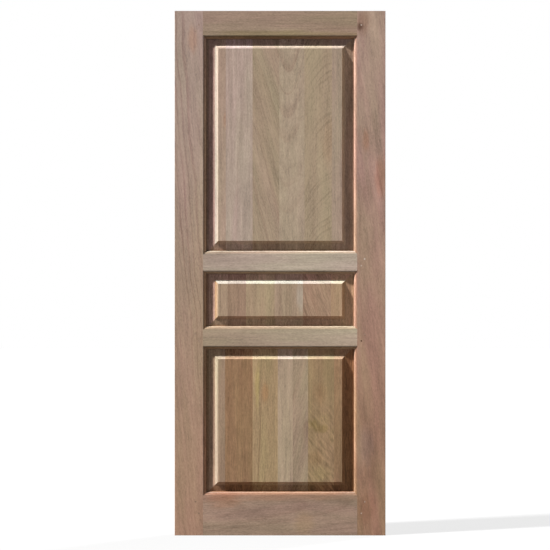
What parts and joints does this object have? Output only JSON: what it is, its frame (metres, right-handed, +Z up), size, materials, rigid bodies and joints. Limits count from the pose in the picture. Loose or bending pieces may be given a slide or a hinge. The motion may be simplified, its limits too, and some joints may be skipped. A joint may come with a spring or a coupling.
{
  "type": "panelled door leaf",
  "caption": "Bare timber door leaf: moulded stiles and rails, tenoned and pinned, hold three raised panels glued up from staves. It closes a doorway when hung on hinges.",
  "frame": {"origin": "middle of the bottom edge, half way through the thickness", "axes": "+X across the leaf to the right as seen from the front, +Y through the leaf from front to back, +Z up"},
  "size_m": [0.82, 0.04, 2.04],
  "materials": {
    "grey_brown_timber": "bare, planed and sanded",
    "red_brown_timber": "bare, planed and sanded",
    "pale_timber": "bare, planed and sanded",
    "tan_timber": "bare, planed and sanded",
    "olive_timber": "bare, planed and sanded",
    "pin_steel": "bright drawn rod, filed flush"
  },
  "bodies": {
    "root": {"left_stile": "grey_brown_timber", "right_stile": "red_brown_timber", "top_rail": "grey_brown_timber", "upper_mid_rail": "pale_timber", "lower_mid_rail": "pale_timber", "bottom_rail": "red_brown_timber", "top_panel_stave_1": "tan_timber", "top_panel_stave_2": "pale_timber", "top_panel_stave_3": "tan_timber", "top_panel_stave_4": "pale_timber", "top_panel_stave_5": "olive_timber", "top_panel_stave_6": "tan_timber", "middle_panel_stave_1": "tan_timber", "middle_panel_stave_2": "red_brown_timber", "middle_panel_stave_3": "olive_timber", "middle_panel_stave_4": "grey_brown_timber", "middle_panel_stave_5": "red_brown_timber", "middle_panel_stave_6": "tan_timber", "bottom_panel_stave_1": "tan_timber", "bottom_panel_stave_2": "red_brown_timber", "bottom_panel_stave_3": "olive_timber", "bottom_panel_stave_4": "pale_timber", "bottom_panel_stave_5": "tan_timber", "bottom_panel_stave_6": "olive_timber", "bottom_panel_stave_7": "red_brown_timber", "joint_pins": "pin_steel"}
  },
  "joints": []
}
